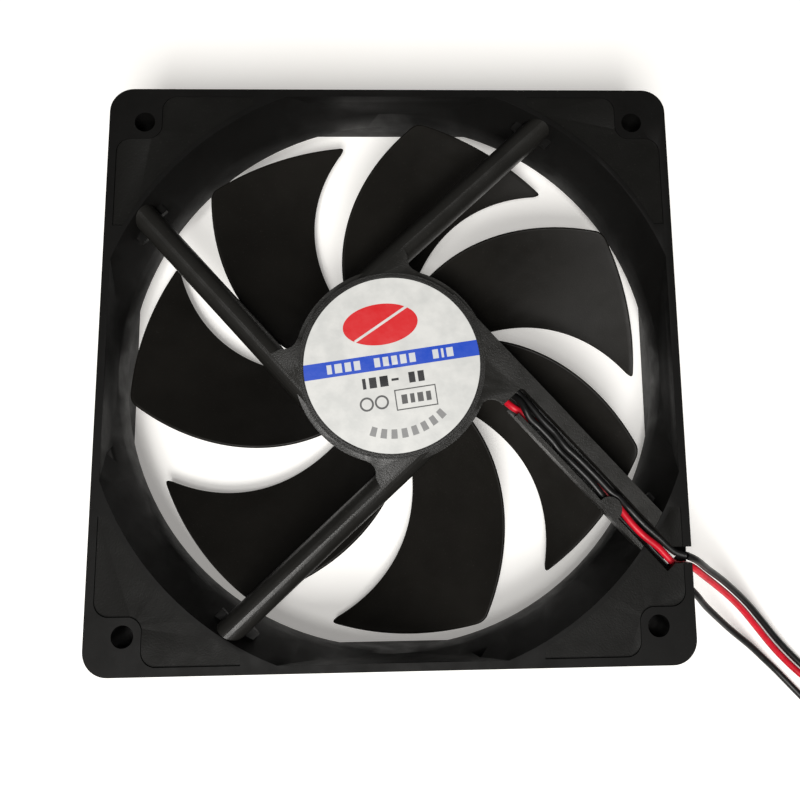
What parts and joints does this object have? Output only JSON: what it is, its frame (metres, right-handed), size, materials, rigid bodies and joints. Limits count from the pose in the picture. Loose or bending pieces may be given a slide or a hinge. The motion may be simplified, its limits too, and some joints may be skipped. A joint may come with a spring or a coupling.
{
  "type": "case fan",
  "caption": "Square axial case fan with swept blades, four struts on the label side, a wire channel and leads with a connector.",
  "frame": {"origin": "centre of the intake face, the face that lies down", "axes": "+Z out of the label side, along the rotor axis; +X towards the side where the leads leave; +Y along that side"},
  "size_m": [0.184, 0.1604, 0.025],
  "materials": {
    "frame_plastic": "moulded, fine grain",
    "impeller_plastic": "moulded, smooth satin",
    "label_film": "coated, silver white",
    "bronze": "sintered",
    "seal_rubber": "soft",
    "washer_plastic": "polyamide",
    "core_steel": "stamped sheet",
    "insulator_plastic": "moulded",
    "enamelled_copper": "enamelled wire",
    "tinned_metal": "tinned",
    "board_laminate": "solder mask",
    "chip_plastic": "moulded",
    "ceramic_body": "fired",
    "red_sleeve": "soft insulation",
    "black_sleeve": "soft insulation",
    "tie_nylon": "nylon",
    "connector_nylon": "nylon",
    "magnet": "bonded ferrite",
    "brass_bush": "turned",
    "shaft_steel": "ground"
  },
  "bodies": {
    "frame": {"housing": "frame_plastic", "label": "label_film", "bearing_sleeve": "bronze", "oil_seal": "seal_rubber", "thrust_washer": "washer_plastic", "stator_core": "core_steel", "upper_insulator": "insulator_plastic", "lower_insulator": "insulator_plastic", "winding_1": "enamelled_copper", "winding_2": "enamelled_copper", "winding_3": "enamelled_copper", "winding_4": "enamelled_copper", "winding_pins": "tinned_metal", "circuit_board": "board_laminate", "hall_sensor": "chip_plastic", "driver_chip": "chip_plastic", "capacitor": "ceramic_body", "resistors": "chip_plastic", "solder_joints": "tinned_metal", "channel_lead_red": "red_sleeve", "channel_lead_inner": "black_sleeve", "channel_lead_outer": "black_sleeve", "lead_red": "red_sleeve", "lead_inner": "black_sleeve", "lead_outer": "black_sleeve", "lead_coil": "black_sleeve", "coil_tie": "tie_nylon", "connector_housing": "connector_nylon", "connector_terminals": "tinned_metal", "tail_red": "red_sleeve", "tail_inner": "black_sleeve", "tail_outer": "black_sleeve"},
    "rotor": {"impeller": "impeller_plastic", "rotor_yoke": "core_steel", "magnet_ring": "magnet", "shaft_bush": "brass_bush", "shaft": "shaft_steel", "slip_washer": "washer_plastic", "retaining_clip": "washer_plastic"}
  },
  "joints": [
    {"name": "impeller_spin", "type": "hinge", "parent": "frame", "child": "rotor", "pos_m": [0, 0, 0.012], "axis": [0, 0, -1], "continuous": true}
  ]
}
